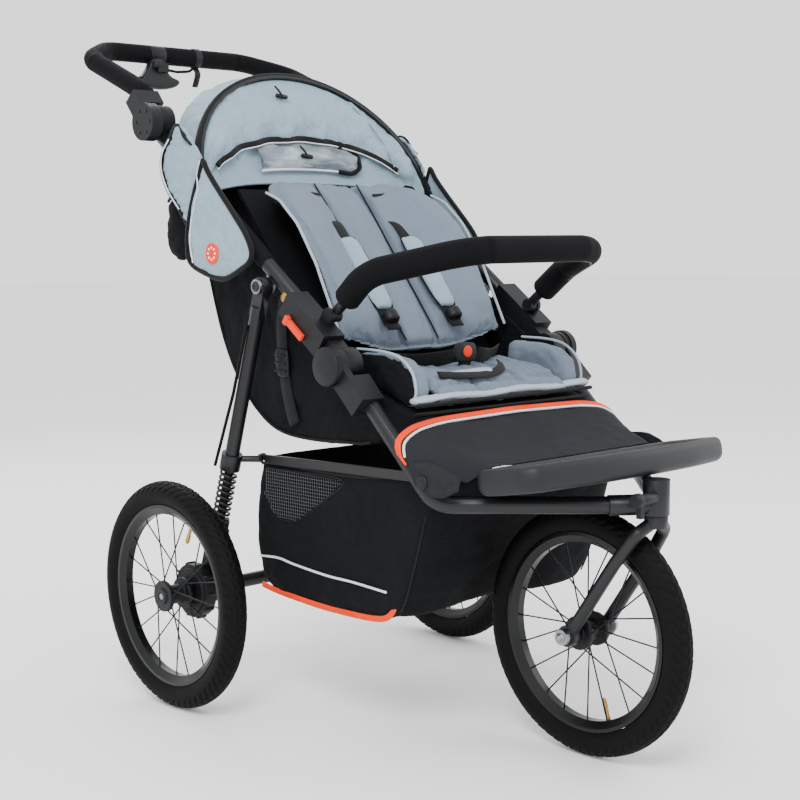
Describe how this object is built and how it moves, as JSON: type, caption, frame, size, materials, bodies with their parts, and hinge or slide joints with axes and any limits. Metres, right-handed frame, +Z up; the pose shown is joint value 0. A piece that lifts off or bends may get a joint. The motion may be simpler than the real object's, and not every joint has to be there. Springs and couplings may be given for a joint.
{
  "type": "baby stroller",
  "caption": "Folding three-wheel jogging pushchair: padded reclining seat, bumper bar, sprung rear axle, swivelling front fork, canopy and basket.",
  "frame": {"origin": "on the floor, under the middle of the object's bounding box", "axes": "+X the child's left, +Y to the rear towards the pusher, +Z up"},
  "size_m": [0.644, 1.1789, 1.0715],
  "materials": {
    "frame_black": "satin powder coat",
    "moulded_black": "fine moulded texture",
    "foam_black": "matt foam",
    "metal_grey": "zinc plated",
    "signal_orange": "satin",
    "tyre_rubber": "dry tread",
    "rim_black": "gloss anodised",
    "spoke_steel": "black steel",
    "shell_fabric": "black polyester weave",
    "apron_fabric": "charcoal polyester weave",
    "liner_fabric": "soft quilted jersey",
    "canopy_fabric": "blue-grey polyester weave",
    "strap_webbing": "ribbed webbing"
  },
  "bodies": {
    "chassis": {"side_tubes": "frame_black", "head_casting": "moulded_black", "hinge_bases": "moulded_black", "footrest": "moulded_black", "seat_base": "shell_fabric", "seat_pad": "liner_fabric", "seat_bolsters": "liner_fabric", "leg_apron": "apron_fabric", "basket": "shell_fabric", "crotch_buckle": "moulded_black", "link_studs": "metal_grey"},
    "upper_frame": {"upper_tubes": "frame_black", "upper_crossbar": "frame_black", "hinge_arms": "moulded_black", "handle_hub_shells": "moulded_black", "leg_pivots": "metal_grey", "seat_sling": "shell_fabric", "canopy_rear": "canopy_fabric", "canopy_sides": "canopy_fabric"},
    "handle": {"handle_tube": "frame_black", "handle_grip": "foam_black", "handle_hubs": "moulded_black", "brake_clamp": "moulded_black", "brake_cable": "moulded_black"},
    "brake_lever": {"brake_lever": "moulded_black"},
    "catch_left": {"catch_left": "signal_orange"},
    "catch_right": {"catch_right": "signal_orange"},
    "backrest": {"backrest_board": "shell_fabric", "backrest_pad": "liner_fabric", "backrest_wings": "liner_fabric", "shoulder_straps": "strap_webbing"},
    "canopy": {"canopy_bow": "moulded_black", "canopy_hood": "canopy_fabric"},
    "bumper": {"bumper_tube": "frame_black", "bumper_foam": "foam_black", "bumper_connectors": "moulded_black"},
    "rear_legs": {"rear_legs": "frame_black", "leg_cable": "moulded_black"},
    "side_links": {"side_links": "frame_black"},
    "rear_axle": {"axle_carriers": "frame_black", "axle_tube": "frame_black", "springs": "frame_black", "brake_drums": "moulded_black"},
    "wheel_left": {"tyre_left": "tyre_rubber", "rim_left": "rim_black", "spokes_left": "spoke_steel", "hub_left": "rim_black"},
    "wheel_right": {"tyre_right": "tyre_rubber", "rim_right": "rim_black", "spokes_right": "spoke_steel", "hub_right": "rim_black"},
    "wheel_front": {"tyre_front": "tyre_rubber", "rim_front": "rim_black", "spokes_front": "spoke_steel", "hub_front": "rim_black"},
    "fork": {"fork": "frame_black", "front_axle": "metal_grey"},
    "swivel_lock": {"swivel_lock": "moulded_black"}
  },
  "joints": [
    {"name": "fold", "type": "hinge", "parent": "chassis", "child": "upper_frame", "pos_m": [0, -0.146, 0.548], "axis": [-1, 0, 0], "range_deg": [-125, 0]},
    {"name": "leg_fold", "type": "hinge", "parent": "upper_frame", "child": "rear_legs", "pos_m": [0, 0.017, 0.656], "axis": [1, 0, 0], "range_deg": [-30, 0]},
    {"name": "link_fold", "type": "hinge", "parent": "chassis", "child": "side_links", "pos_m": [0, -0.316, 0.402], "axis": [-1, 0, 0], "range_deg": [-53, 0]},
    {"name": "bumper_fold", "type": "hinge", "parent": "upper_frame", "child": "bumper", "pos_m": [0, -0.113, 0.617], "axis": [1, 0, 0], "range_deg": [-91, 0]},
    {"name": "handle_adjust", "type": "hinge", "parent": "upper_frame", "child": "handle", "pos_m": [0, 0.308, 0.912], "axis": [1, 0, 0], "range_deg": [-45, 30]},
    {"name": "brake_squeeze", "type": "hinge", "parent": "handle", "child": "brake_lever", "pos_m": [-0.057, 0.549, 1.02], "axis": [0, 0, 1], "range_deg": [0, 18], "stiffness_Nm_per_rad": 0.6, "springref_deg": -11.46},
    {"name": "catch_left_slide", "type": "slide", "parent": "upper_frame", "child": "catch_left", "axis": [0, 0.8049, 0.5934], "range_m": [0, 0.007], "stiffness_N_per_m": 400, "springref_m": -0.004},
    {"name": "catch_right_slide", "type": "slide", "parent": "upper_frame", "child": "catch_right", "axis": [0, 0.8049, 0.5934], "range_m": [0, 0.007], "stiffness_N_per_m": 400, "springref_m": -0.004},
    {"name": "recline", "type": "hinge", "parent": "upper_frame", "child": "backrest", "pos_m": [0, -0.082, 0.548], "axis": [-1, 0, 0], "range_deg": [0, 16]},
    {"name": "canopy_open", "type": "hinge", "parent": "upper_frame", "child": "canopy", "pos_m": [0, 0.154, 0.8], "axis": [1, 0, 0], "range_deg": [0, 85]},
    {"name": "suspension", "type": "slide", "parent": "rear_legs", "child": "rear_axle", "axis": [0, -0.3082, 0.9513], "range_m": [0, 0.02], "stiffness_N_per_m": 9000, "springref_m": -0.02, "deforming": ["springs"]},
    {"name": "wheel_left_spin", "type": "hinge", "parent": "rear_axle", "child": "wheel_left", "pos_m": [0.298, 0.172, 0.1775], "axis": [1, 0, 0], "continuous": true},
    {"name": "wheel_right_spin", "type": "hinge", "parent": "rear_axle", "child": "wheel_right", "pos_m": [-0.298, 0.172, 0.1775], "axis": [1, 0, 0], "continuous": true},
    {"name": "front_swivel", "type": "hinge", "parent": "chassis", "child": "fork", "pos_m": [0, -0.53, 0.38], "axis": [0, 0, 1], "continuous": true},
    {"name": "wheel_front_spin", "type": "hinge", "parent": "fork", "child": "wheel_front", "pos_m": [0, -0.412, 0.1775], "axis": [1, 0, 0], "continuous": true},
    {"name": "swivel_lock_turn", "type": "hinge", "parent": "chassis", "child": "swivel_lock", "pos_m": [-0.03, -0.54, 0.384], "axis": [-1, 0, 0], "range_deg": [0, 90]}
  ],
  "couplings": [
    {"joint": "leg_fold", "follows": "fold", "ratio": 0.233},
    {"joint": "link_fold", "follows": "fold", "ratio": 0.418},
    {"joint": "bumper_fold", "follows": "fold", "ratio": 0.72}
  ]
}
